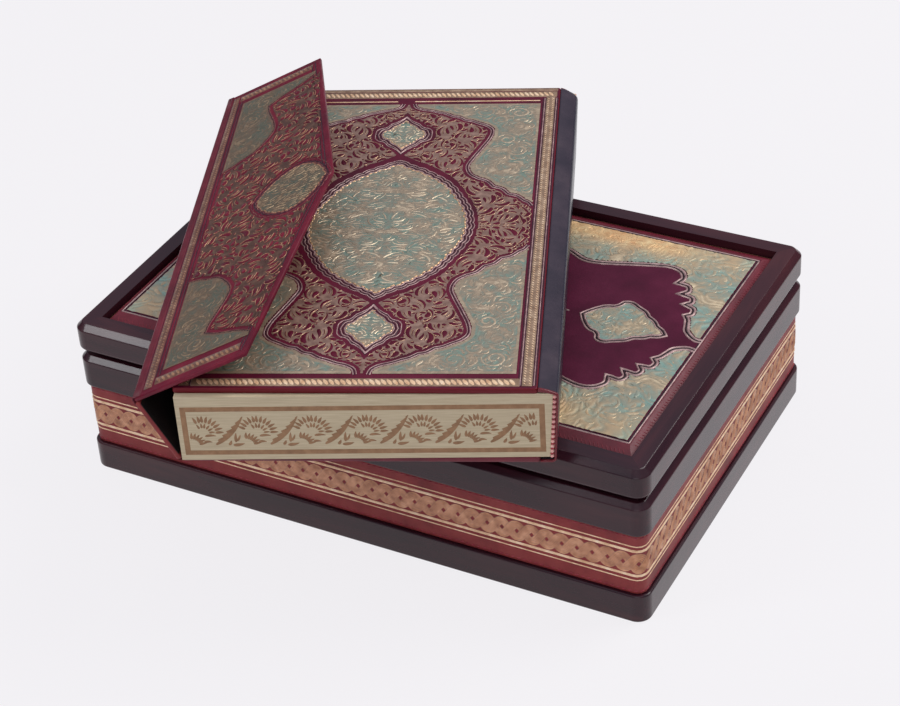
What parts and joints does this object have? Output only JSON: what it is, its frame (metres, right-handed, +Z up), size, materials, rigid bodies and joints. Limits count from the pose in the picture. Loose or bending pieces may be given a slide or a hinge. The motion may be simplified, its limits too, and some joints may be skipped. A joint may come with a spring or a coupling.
{
  "type": "quran box",
  "caption": "Low lacquered box with a leather band and a hinged, framed leather lid, with its flap-bound book resting on the lid.",
  "frame": {"origin": "centre of the box's underside", "axes": "+X along the box's length to its right end, +Y to the hinged back, +Z up"},
  "size_m": [0.3528, 0.3575, 0.1762],
  "materials": {
    "lacquered_wood": "polished lacquer",
    "plain_wood": "sanded",
    "velvet_board": "velvet on a thin wooden board",
    "brass": "satin",
    "plum_leather": "smooth",
    "gilt_leather": "embossed, gilt and tinted",
    "paste_board": "matte",
    "paper": "matte",
    "headband_silk": "twisted thread",
    "maroon_leather": "tooled in gold"
  },
  "bodies": {
    "box": {"plinth_front": "lacquered_wood", "plinth_back": "lacquered_wood", "plinth_left": "lacquered_wood", "plinth_right": "lacquered_wood", "bottom_panel": "plain_wood", "wall_front": "plain_wood", "wall_back": "plain_wood", "wall_left": "plain_wood", "wall_right": "plain_wood", "leather_band": "maroon_leather", "rail_front": "lacquered_wood", "rail_back": "lacquered_wood", "rail_left": "lacquered_wood", "rail_right": "lacquered_wood", "floor_battens": "plain_wood", "floor_board": "velvet_board", "liner_front": "velvet_board", "liner_back": "velvet_board", "liner_left": "velvet_board", "liner_right": "velvet_board", "hinge_base_leaf_left": "brass", "hinge_base_leaf_right": "brass", "hinge_pin_left": "brass", "hinge_pin_right": "brass", "hinge_base_screws": "brass"},
    "lid": {"lid_frame_front": "lacquered_wood", "lid_frame_back": "lacquered_wood", "lid_frame_left": "lacquered_wood", "lid_frame_right": "lacquered_wood", "lid_board": "plain_wood", "lid_leather": "plum_leather", "lid_edging": "maroon_leather", "lid_corner_onlays": "gilt_leather", "lid_medallion": "gilt_leather", "lid_pendants": "gilt_leather", "lid_lining": "velvet_board", "hinge_lid_leaf_left": "brass", "hinge_lid_leaf_right": "brass", "hinge_lid_screws": "brass"},
    "book": {"back_board": "paste_board", "back_cover_leather": "maroon_leather", "back_endpaper": "paper", "text_block": "paper", "spine": "maroon_leather", "tail_band": "headband_silk", "head_band": "headband_silk", "front_board": "paste_board", "front_cover_leather": "maroon_leather", "front_endpaper": "paper", "cover_corner_onlays": "gilt_leather", "cover_medallion": "gilt_leather", "cover_pendants": "gilt_leather"},
    "fore_edge_flap": {"fore_edge_flap": "maroon_leather"},
    "envelope_flap": {"envelope_flap": "maroon_leather", "flap_corner_onlays": "gilt_leather", "flap_medallion": "gilt_leather"}
  },
  "joints": [
    {"name": "book_lift", "type": "slide", "parent": "box", "child": "book", "axis": [0, 0, 1], "range_m": [0, 0.42]},
    {"name": "lid_hinge", "type": "hinge", "parent": "box", "child": "lid", "pos_m": [0, 0.11275, 0.0785], "axis": [-1, 0, 0], "range_deg": [0, 100]},
    {"name": "fore_edge_flap_hinge", "type": "hinge", "parent": "book", "child": "fore_edge_flap", "pos_m": [-0.10591, -0.0548, 0.0988], "axis": [0.3875, -0.9219, 0], "range_deg": [0, 60]},
    {"name": "envelope_flap_hinge", "type": "hinge", "parent": "fore_edge_flap", "child": "envelope_flap", "pos_m": [-0.12379, -0.06232, 0.13378], "axis": [0.3875, -0.9219, 0], "range_deg": [0, 93]}
  ],
  "couplings": [
    {"joint": "lid_hinge", "follows": "book_lift", "rad_per_m": 4.155}
  ]
}
